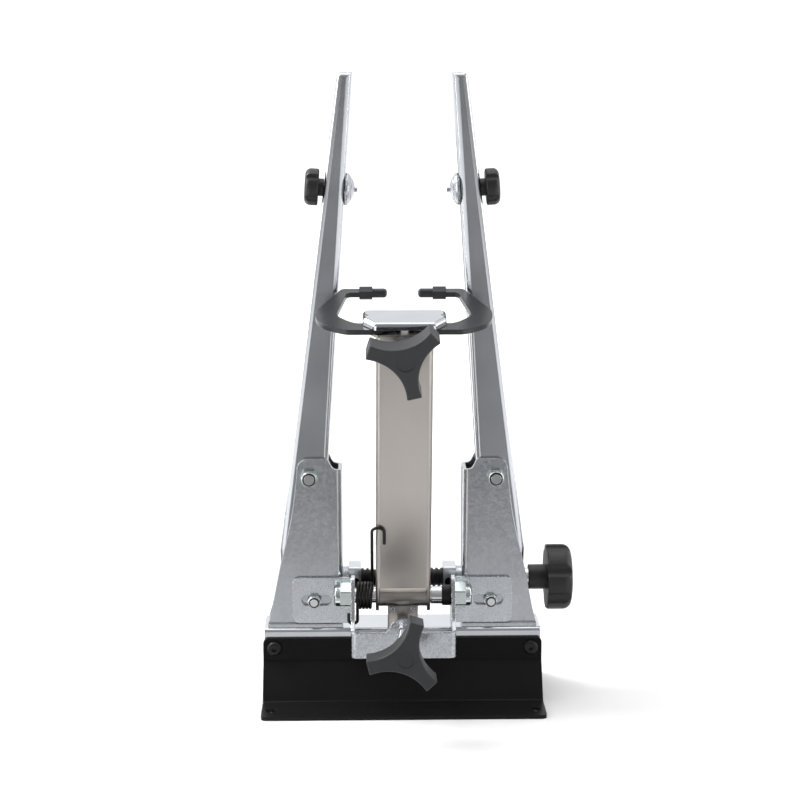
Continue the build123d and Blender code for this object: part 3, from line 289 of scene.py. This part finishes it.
materials = {
    "zinc_steel": spangled("zinc_plate", ZINC, rough=0.26, cell_scale=900.0, contrast=0.14),
    "zinc_upright": plated("zinc_upright", shade(ZINC, 0.95), rough=0.2, patch_scale=14.0,
                           patch_depth=0.12, streak=LONG_STREAKS, edge=0.25 * MM),
    "zinc_bracket": bracket_zinc("zinc_bracket", shade(ZINC, 1.12)),
    "zinc_foot": spangled("zinc_foot", shade(ZINC, 0.95), rough=0.22, cell_scale=500.0,
                          contrast=0.05),
    "zinc_rail": plated("zinc_rail", shade(ZINC, 1.2), rough=0.16, patch_scale=25.0,
                        patch_depth=0.06, streak=CROSS_STREAKS),
    "zinc_nut": plated("zinc_nut", NUT_ZINC, rough=0.14, patch_scale=120.0,
                       patch_depth=0.08, streak=EVEN_GRAIN, edge=0.3 * MM),
    "zinc_cone": plated("zinc_cone", shade(ZINC, 0.9), rough=0.34, patch_scale=90.0,
                        patch_depth=0.08, streak=EVEN_GRAIN, edge=0.4 * MM),
    "zinc_block": plated("zinc_block", shade(ZINC, 1.2), rough=0.3, patch_scale=90.0,
                         patch_depth=0.06, streak=EVEN_GRAIN),
    "bright_chrome": plated("bright_chrome", CHROME, rough=0.12, patch_scale=60.0,
                            patch_depth=0.05, streak=EVEN_GRAIN, edge=0.3 * MM),
    "cover_chrome": plated("cover_chrome", COVER_CHROME, rough=0.12, patch_scale=50.0,
                           patch_depth=0.04, streak=CROSS_STREAKS, edge=0.5 * MM),
    "satin_nickel": warm_nickel("satin_nickel", NICKEL),
    # The base's black paint gets painted shade over a given height
    "black_paint": painted("black_paint", BLACK_PAINT, rough=0.32, peel_scale=300.0,
                           peel_depth=0.004 * MM, gloss=0.12, shade_knee=BASE_SHADE_KNEE_Z),
    "black_oxide": painted("black_oxide", BLACK_OXIDE, rough=0.36, peel_scale=1500.0,
                           peel_depth=0.01 * MM, metal=0.6),
    "caliper_grey": painted("caliper_grey", CALIPER_GREY, rough=0.3, peel_scale=1800.0,
                            peel_depth=0.006 * MM),
    "black_plastic": painted("black_plastic", BLACK_PLASTIC, rough=0.42, peel_scale=2500.0,
                             peel_depth=0.02 * MM),
    "grey_plastic": painted("grey_plastic", GREY_PLASTIC, rough=0.44, peel_scale=3000.0,
                            peel_depth=0.03 * MM),
}

# Nodes whose finish differs from the others in their slot
OWN_FINISH = {
    "left_upright": "zinc_upright",
    "right_upright": "zinc_upright",
    "left_foot": "zinc_foot",
    "right_foot": "zinc_foot",
    "arm_bracket": "zinc_bracket",
    "base_rail": "zinc_rail",
    "head_cover": "cover_chrome",
    "shaft_nuts": "zinc_nut",
    "pivot_nuts": "zinc_nut",
    "bracket_nuts": "zinc_nut",
    "left_hub_cone": "zinc_cone",
    "right_hub_cone": "zinc_cone",
    "left_hub_washer": "zinc_cone",
    "right_hub_washer": "zinc_cone",
    "left_spread_nut": "zinc_block",
    "right_spread_nut": "zinc_block",
}

slot_of = {row["node"]: row["material_slot"] for row in frame["record"]["subparts"]}
for node, obj in frame["nodes"].items():
    finish = materials[OWN_FINISH.get(node, slot_of[node])]
    if not obj.material_slots:
        obj.data.materials.append(finish)
    for entry in obj.material_slots:
        entry.material = finish

# ------------------------------------------------------------------ mesh helpers

SHARP_ANGLE = math.radians(40)
CREST_SHARE = 0.3  # share of the pitch that a thread's crest takes
FLANK_SHARE = 0.4  # share of the pitch that its two flanks take
THREAD_STEP = 0.05 * MM


def middle(node):
    low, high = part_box(node)
    return (Vector(low) + Vector(high)) / 2


def frame_about(origin, direction):
    """A matrix whose local Z runs along the direction."""
    rotation = Vector((0, 0, 1)).rotation_difference(Vector(direction).normalized())
    return Matrix.Translation(Vector(origin)) @ rotation.to_matrix().to_4x4()


def make_object(name, bm, finish):
    """A smooth-shaded piece from a bmesh, with its sharp edges kept sharp."""
    bmesh.ops.recalc_face_normals(bm, faces=bm.faces)
    mesh = bpy.data.meshes.new(name)
    bm.to_mesh(mesh)
    bm.free()
    obj = bpy.data.objects.new(name, mesh)
    bpy.context.scene.collection.objects.link(obj)
    mesh.materials.append(materials[finish])
    mesh.shade_smooth()
    mesh.set_sharp_from_angle(angle=SHARP_ANGLE)
    return obj


def join_rows(bm, rows):
    """A band of faces between each closed row of vertices and the next."""
    for low, high in zip(rows, rows[1:]):
        steps = len(low)
        for step in range(steps):
            after = (step + 1) % steps
            bm.faces.new((low[step], low[after], high[after], high[step]))


def close_ends(bm, rows):
    bm.faces.new(list(reversed(rows[0])))
    bm.faces.new(rows[-1])


def add_rings(bm, matrix, rings, steps):
    """Closed turned body. Each ring is a height and a radius, or a radius for each angle."""
    rows = []
    for height, radius_at in rings:
        row = []
        for step in range(steps):
            angle = 2 * math.pi * step / steps
            radius = radius_at(angle) if callable(radius_at) else radius_at
            point = Vector((radius * math.cos(angle), radius * math.sin(angle), height))
            row.append(bm.verts.new(matrix @ point))
        rows.append(row)
    join_rows(bm, rows)
    close_ends(bm, rows)


def thread_radius(height, angle, major, depth, pitch, hand):
    """Trapezoidal thread form."""
    phase = (height / pitch - hand * angle / (2 * math.pi)) % 1.0
    ramp = abs(phase - 0.5) * 2
    return major - depth * min(1.0, max(0.0, (ramp - CREST_SHARE) / FLANK_SHARE))


def thread_rings(start, end, major, depth, pitch, hand, steps_per_turn, lead):
    """Rings for a threaded stretch, tapered over the lead at both ends."""
    count = int((end - start) / pitch * steps_per_turn)
    rings = []
    for row in range(count + 1):
        height = start + (end - start) * row / count
        near = min(height - start, end - height)
        cap = major - depth * max(0.0, 1 - near / lead)

        def radius_at(angle, height=height, cap=cap):
            return min(cap, thread_radius(height, angle, major, depth, pitch, hand))

        rings.append((height, radius_at))
    return rings


def tipped_rings(tip_r, tip_length, length, major, depth, pitch, lead):
    """Rings of a screw: a plain chamfered tip, then a right-hand thread to the end."""
    chamfer = 0.3 * MM
    rings = [(0.0, tip_r - chamfer), (chamfer, tip_r), (tip_length, tip_r)]
    return rings + thread_rings(tip_length + THREAD_STEP, length, major, depth, pitch, 1, 10, lead)


def smooth_path(points, radius, arc_steps):
    """The points with each corner turned into an arc of the radius."""
    out = [points[0]]
    for before, corner, after in zip(points, points[1:], points[2:]):
        to_before = (before - corner).normalized()
        to_after = (after - corner).normalized()
        angle = to_before.angle(to_after)
        reach = radius / math.tan(angle / 2)
        centre = corner + (to_before + to_after).normalized() * radius / math.sin(angle / 2)
        start = (corner + to_before * reach - centre).normalized()
        end = (corner + to_after * reach - centre).normalized()
        for step in range(arc_steps + 1):
            out.append(centre + start.slerp(end, step / arc_steps) * radius)
    out.append(points[-1])
    return out


def add_wire(bm, path, radius, steps):
    """Round wire along a path, closed at both ends."""
    side = None
    rows = []
    for index, point in enumerate(path):
        ahead = path[min(index + 1, len(path) - 1)]
        behind = path[max(index - 1, 0)]
        tangent = (ahead - behind).normalized()
        if side is None:
            side = tangent.orthogonal()
        side = (side - tangent * side.dot(tangent)).normalized()
        up = tangent.cross(side)
        row = []
        for step in range(steps):
            angle = 2 * math.pi * step / steps
            outward = side * math.cos(angle) + up * math.sin(angle)
            row.append(bm.verts.new(point + outward * radius))
        rows.append(row)
    join_rows(bm, rows)
    close_ends(bm, rows)


# ------------------------------------------------------------------ spread screw

ROD_SHANK_R = 5.25 * MM
ROD_CHAMFER = 0.6 * MM
ROD_THREAD_R = 7.8 * MM
ROD_THREAD_DEPTH = 1.3 * MM
ROD_PITCH = 4 * MM
ROD_LEAD = 1 * MM
ROD_THREAD_IN = 6.2 * MM
ROD_THREAD_OUT = 44 * MM
ROD_SHOULDER = 0.1 * MM
JOURNAL_R = 5 * MM

rod_low, rod_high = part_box("spread_screw")
rod_centre = middle("spread_screw")
along_x = Matrix.Rotation(math.radians(90), 4, "Y")
rod_frame = Matrix.Translation((0, rod_centre.y, rod_centre.z)) @ along_x
rings = [(rod_low[0], ROD_SHANK_R - ROD_CHAMFER), (rod_low[0] + ROD_CHAMFER, ROD_SHANK_R),
         (-ROD_THREAD_OUT - ROD_SHOULDER, ROD_SHANK_R)]
rings += thread_rings(-ROD_THREAD_OUT, -ROD_THREAD_IN, ROD_THREAD_R, ROD_THREAD_DEPTH, ROD_PITCH,
                      -1, 14, ROD_LEAD)
rings += [(-ROD_THREAD_IN + THREAD_STEP, JOURNAL_R), (ROD_THREAD_IN - THREAD_STEP, JOURNAL_R)]
rings += thread_rings(ROD_THREAD_IN, ROD_THREAD_OUT, ROD_THREAD_R, ROD_THREAD_DEPTH, ROD_PITCH,
                      1, 14, ROD_LEAD)
rings += [(ROD_THREAD_OUT + ROD_SHOULDER, ROD_SHANK_R), (rod_high[0], ROD_SHANK_R)]
bm = bmesh.new()
add_rings(bm, rod_frame, rings, 48)
rod_threads = make_object("spread_screw_threads", bm, "black_oxide")
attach(rod_threads, "spread_rod")
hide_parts("spread_screw")

# ------------------------------------------------------------------ arm screw and caliper screw

SCREW_R = 4 * MM
SCREW_THREAD_DEPTH = 0.75 * MM
SCREW_LEAD = 0.6 * MM


def plain_tip_screw(name, node, direction, tip_r, tip_length, pitch, body):
    """Screw with a plain tip at the node's rear end and a thread up to its knob."""
    corner_low, corner_high = (Vector(corner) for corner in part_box(node))
    centre = (corner_low + corner_high) / 2
    extent = corner_high - corner_low
    direction = Vector(direction).normalized()
    side = math.sqrt(1 - direction.y * direction.y)
    length = (extent.y - 2 * SCREW_R * side) / abs(direction.y)
    matrix = frame_about(centre - direction * length / 2, direction)
    screw_rings = tipped_rings(tip_r, tip_length, length, SCREW_R, SCREW_THREAD_DEPTH, pitch,
                               SCREW_LEAD)
    mesh = bmesh.new()
    add_rings(mesh, matrix, screw_rings, 36)
    screw = make_object(name, mesh, "bright_chrome")
    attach(screw, body)
    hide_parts(node)


towards_user = (0, -1, 0)
out_of_head = (0, -math.cos(LEAN), -math.sin(LEAN))
plain_tip_screw("arm_screw_threads", "arm_screw", towards_user, tip_r=2.5 * MM,
                tip_length=6 * MM, pitch=2 * MM, body="height_screw")
plain_tip_screw("caliper_screw_threads", "caliper_screw", out_of_head, tip_r=3 * MM,
                tip_length=5.1 * MM, pitch=1.25 * MM, body="head_screw")

# ------------------------------------------------------------------ axle studs

HUB_TILT = math.atan(0.06644)  # the studs stand square to the uprights' inner sides
STUD_R = 4 * MM
STUD_TIP_R = 3 * MM
STUD_TIP_LENGTH = 4.4 * MM
STUD_LENGTH = 30.9 * MM
STUD_THREAD_DEPTH = 0.6 * MM
STUD_PITCH = 1.25 * MM
STUD_LEAD = 0.5 * MM

for side_name, sign in (("left", -1), ("right", 1)):
    node = f"{side_name}_axle_stud"
    outward = Vector((sign * math.cos(HUB_TILT), 0, math.sin(HUB_TILT)))
    start = middle(node) - outward * STUD_LENGTH / 2
    stud_rings = tipped_rings(STUD_TIP_R, STUD_TIP_LENGTH, STUD_LENGTH, STUD_R,
                              STUD_THREAD_DEPTH, STUD_PITCH, STUD_LEAD)
    bm = bmesh.new()
    add_rings(bm, frame_about(start, outward), stud_rings, 32)
    stud = make_object(f"{side_name}_stud_threads", bm, "bright_chrome")
    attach(stud, f"{side_name}_clamp")
    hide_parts(node)

# ------------------------------------------------------------------ torsion spring

WIRE_R = 1.25 * MM
COIL_R = 9.75 * MM
COIL_TURNS = 4.5
COIL_STEPS = 150
COIL_START_X = -36 * MM
COIL_END_X = -24.2 * MM
EAR_HOOK_X = -42.9 * MM
EAR_HOOK_Z = -19.65 * MM
EAR_HOOK_TOP = -11.65 * MM
ARM_LEG_X = -24.6 * MM
ARM_HOOK_X = -15 * MM
ARM_HOOK_Y = -12.6 * MM
ARM_HOOK_Z = 66.9 * MM
ARM_HOOK_DROP = 14 * MM
LEG_GAP = 0.5 * MM
EAR_BEND_R = 2.6 * MM
ARM_BEND_R = 4.4 * MM

# Places count from the middle of the cross shaft; those of the arm's leg lean with the arm
shaft = middle("cross_shaft")
arm_matrix = Matrix.Translation(shaft) @ Matrix.Rotation(LEAN, 4, "X")
ear_leg = [
    shaft + Vector((EAR_HOOK_X, -COIL_R, EAR_HOOK_TOP)),
    shaft + Vector((EAR_HOOK_X, -COIL_R, EAR_HOOK_Z)),
    shaft + Vector((COIL_START_X, -COIL_R, EAR_HOOK_Z)),
    shaft + Vector((COIL_START_X, -COIL_R, -LEG_GAP)),
]
coil = []
for step in range(COIL_STEPS + 1):
    part = step / COIL_STEPS
    angle = math.pi - 2 * math.pi * COIL_TURNS * part + LEAN * part
    coil.append(shaft + Vector((COIL_START_X + (COIL_END_X - COIL_START_X) * part,
                                COIL_R * math.cos(angle), COIL_R * math.sin(angle))))
arm_leg = [
    arm_matrix @ Vector((COIL_END_X, COIL_R, LEG_GAP)),
    arm_matrix @ Vector((ARM_LEG_X, ARM_HOOK_Y, ARM_HOOK_Z)),
    arm_matrix @ Vector((ARM_HOOK_X, ARM_HOOK_Y, ARM_HOOK_Z)),
    arm_matrix @ Vector((ARM_HOOK_X, ARM_HOOK_Y, ARM_HOOK_Z - ARM_HOOK_DROP)),
]
spring_path = smooth_path(ear_leg, EAR_BEND_R, 6) + coil[1:-1]
spring_path += smooth_path(arm_leg, ARM_BEND_R, 10)
bm = bmesh.new()
add_wire(bm, spring_path, WIRE_R, 12)
spring = make_object("torsion_spring_wire", bm, "black_oxide")
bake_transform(spring)
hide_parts("torsion_spring")

# ------------------------------------------------------------------ caliper return spring

LOOPS = 18
STEPS_PER_LOOP = 12
LOOP_R = 1.2 * MM
FINE_WIRE_R = 0.28 * MM
# How far the loops and the two end hooks reach, as shares of half the spring's length
LOOPS_REACH = 0.88
HOOK_START = 0.86
HOOK_END = 0.98
HOOK_HEIGHT = 1.1 * MM

spring_middle = middle("caliper_spring")
spring_low, spring_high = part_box("caliper_spring")
half_length = (spring_high[0] - spring_low[0]) / 2
return_path = []
for step in range(LOOPS * STEPS_PER_LOOP + 1):
    part = step / (LOOPS * STEPS_PER_LOOP)
    angle = 2 * math.pi * LOOPS * part
    return_path.append(spring_middle + Vector((half_length * LOOPS_REACH * (2 * part - 1),
                                               LOOP_R * math.cos(angle),
                                               LOOP_R * math.sin(angle))))
bm = bmesh.new()
add_wire(bm, return_path, FINE_WIRE_R, 8)
for sign in (-1, 1):
    hook = [spring_middle + Vector((sign * half_length * HOOK_START, 0, HOOK_HEIGHT)),
            spring_middle + Vector((sign * half_length * HOOK_END, 0, 0))]
    add_wire(bm, hook, FINE_WIRE_R, 8)
return_spring = make_object("caliper_spring_wire", bm, "bright_chrome")
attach(return_spring, "arm")
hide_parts("caliper_spring")

# ------------------------------------------------------------------ nylon rings in the lock nuts

RING_PROUD = 0.15 * MM
RING_SUNK = -0.8 * MM
RING_STEPS = 40
SLEEVE_R = 6 * MM
BRACKET_HEAD_R = 5.5 * MM


def nylon_ring(name, face, direction, inner, outer):
    """Flat ring round the bolt's tip, sunk in the nut's end face and a little proud of it."""
    matrix = frame_about(face, direction)
    mesh = bmesh.new()
    corners = ((inner, RING_SUNK), (outer, RING_SUNK), (outer, RING_PROUD), (inner, RING_PROUD))
    rows = []
    for radius, height in corners:
        row = []
        for step in range(RING_STEPS):
            angle = 2 * math.pi * step / RING_STEPS
            point = Vector((radius * math.cos(angle), radius * math.sin(angle), height))
            row.append(mesh.verts.new(matrix @ point))
        rows.append(row)
    join_rows(mesh, rows + rows[:1])
    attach(make_object(name, mesh, "black_plastic"), "base")


def front_face(node, x):
    """The point at x on the end face that a nut turns towards the user."""
    return (x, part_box(node)[0][1], middle(node).z)


pivot_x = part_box("pivot_sleeves")[1][0] - SLEEVE_R
bracket_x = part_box("bracket_bolts")[1][0] - BRACKET_HEAD_R
shaft_end_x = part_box("shaft_nuts")[1][0]
shaft_nut_middle = middle("shaft_nuts")
for side_name, sign in (("left", -1), ("right", 1)):
    nylon_ring(f"{side_name}_pivot_nut_ring", front_face("pivot_nuts", sign * pivot_x),
               towards_user, 4.05 * MM, 5.3 * MM)
    nylon_ring(f"{side_name}_bracket_nut_ring", front_face("bracket_nuts", sign * bracket_x),
               towards_user, 3.05 * MM, 4.1 * MM)
    shaft_face = (sign * shaft_end_x, shaft_nut_middle.y, shaft_nut_middle.z)
    nylon_ring(f"{side_name}_shaft_nut_ring", shaft_face, (sign, 0, 0), 6.05 * MM, 7.9 * MM)

# ------------------------------------------------------------------ studio


def stage_object(name, corners, color, near_glow, far_glow, near, far):
    """Flat stage piece whose own light changes with the distance from the object."""
    mesh = bpy.data.meshes.new(name)
    mesh.from_pydata(corners, [], [tuple(range(len(corners)))])
    obj = bpy.data.objects.new(name, mesh)
    bpy.context.scene.collection.objects.link(obj)
    g = Graph(name)
    g.put(Roughness=0.8, Specular_IOR_Level=0.0, Emission_Color=(1, 1, 1, 1))
    length = g.nodes.new("ShaderNodeVectorMath")
    length.operation = "LENGTH"
    g.link(g.coordinates, length.inputs[0])
    glow = g.remap(length.outputs["Value"], near, far, near_glow, far_glow)
    g.feed("Emission Strength", glow)
    drift = g.noise(2.0, detail=2.0)
    g.feed("Base Color", g.mix(drift, shade(color, 0.985), color))
    mesh.materials.append(g.material)
    return obj


FLOOR = 8.0
FLOOR_COLOR = (0.9, 0.9, 0.9)
floor_corners = [(-FLOOR, -FLOOR, 0), (FLOOR, -FLOOR, 0), (FLOOR, FLOOR, 0), (-FLOOR, FLOOR, 0)]
stage_object("floor", floor_corners, FLOOR_COLOR, near_glow=0.02, far_glow=0.62,
             near=0.3, far=1.6)

# Grey cards on the floor in front, behind and beside: only the metal's reflections see them
CARD_COLOR = (0.02, 0.02, 0.02)
CARD_NEAR = 0.13
CARD_FAR = 7.9
CARD_NEAR_HALF = 0.17
CARD_FAR_LEFT = -0.95
CARD_FAR_RIGHT = 1.3
CARD_Z = 0.002
card_outline = [(CARD_FAR_LEFT, -CARD_FAR, CARD_Z), (CARD_FAR_RIGHT, -CARD_FAR, CARD_Z),
                (CARD_NEAR_HALF, -CARD_NEAR, CARD_Z), (-CARD_NEAR_HALF, -CARD_NEAR, CARD_Z)]
for quarter, card_name in enumerate(("front", "right", "back", "left")):
    turn = Matrix.Rotation(math.radians(90 * quarter), 4, "Z")
    corners = [tuple(turn @ Vector(corner)) for corner in card_outline]
    card = stage_object(f"{card_name}_card", corners, CARD_COLOR, near_glow=0.64, far_glow=0.27,
                        near=0.3, far=0.65)
    card.visible_camera = False
    card.visible_diffuse = False
    card.visible_shadow = False

LIGHTS_AIM = (0, 0, 0.22)


def softbox(name, location, width, height, power):
    """Rectangular area light that faces the middle of the object."""
    light = bpy.data.lights.new(name, "AREA")
    light.shape = "RECTANGLE"
    light.size = width
    light.size_y = height
    light.energy = power
    obj = bpy.data.objects.new(name, light)
    obj.location = location
    facing = Vector(LIGHTS_AIM) - Vector(location)
    obj.rotation_euler = facing.to_track_quat("-Z", "Y").to_euler()
    bpy.context.scene.collection.objects.link(obj)


softbox("key", (-1.2, 0.3, 1.5), width=0.8, height=0.8, power=24)
softbox("left_strip", (-1.3, 0.0, 0.5), width=0.3, height=1.4, power=8)
softbox("right_strip", (1.3, 0.0, 0.5), width=0.3, height=1.4, power=6)
softbox("overhead", (0, 0.2, 2.0), width=1.6, height=1.6, power=9)

# The room is dim on the user's side and bright behind; seen directly it is white all round
ROOM_DIM = 0.27
ROOM_BRIGHT = 1.05
DIM_Y = -1.0
BRIGHT_Y = 0.5
world = bpy.data.worlds.new("studio")
bpy.context.scene.world = world
world.use_nodes = True
tree = world.node_tree
background = tree.nodes["Background"]
background.inputs["Color"].default_value = (1, 1, 1, 1)
direction_node = tree.nodes.new("ShaderNodeTexCoord")
split = tree.nodes.new("ShaderNodeSeparateXYZ")
ramp = tree.nodes.new("ShaderNodeMapRange")
ramp.inputs["From Min"].default_value = DIM_Y
ramp.inputs["From Max"].default_value = BRIGHT_Y
ramp.inputs["To Min"].default_value = ROOM_DIM
ramp.inputs["To Max"].default_value = ROOM_BRIGHT
rays = tree.nodes.new("ShaderNodeLightPath")
strongest = tree.nodes.new("ShaderNodeMath")
strongest.operation = "MAXIMUM"
tree.links.new(direction_node.outputs["Generated"], split.inputs["Vector"])
tree.links.new(split.outputs["Y"], ramp.inputs["Value"])
tree.links.new(ramp.outputs["Result"], strongest.inputs[0])
tree.links.new(rays.outputs["Is Camera Ray"], strongest.inputs[1])
tree.links.new(strongest.outputs["Value"], background.inputs["Strength"])

scene = bpy.context.scene
scene.view_settings.view_transform = "Standard"
scene.view_settings.look = "None"

# ------------------------------------------------------------------ camera

CAMERA_AT = (-0.0326, -1.419, 0.517)
PITCH_DOWN = 11.07
YAW_RIGHT = 1.25
SENSOR_WIDTH = 36
LENS = 82.2
camera_data = bpy.data.cameras.new("camera")
camera_data.sensor_width = SENSOR_WIDTH
camera_data.lens = LENS
camera = bpy.data.objects.new("camera", camera_data)
camera.location = CAMERA_AT
camera.rotation_euler = (math.radians(90 - PITCH_DOWN), 0, math.radians(-YAW_RIGHT))
scene.collection.objects.link(camera)
scene.camera = camera
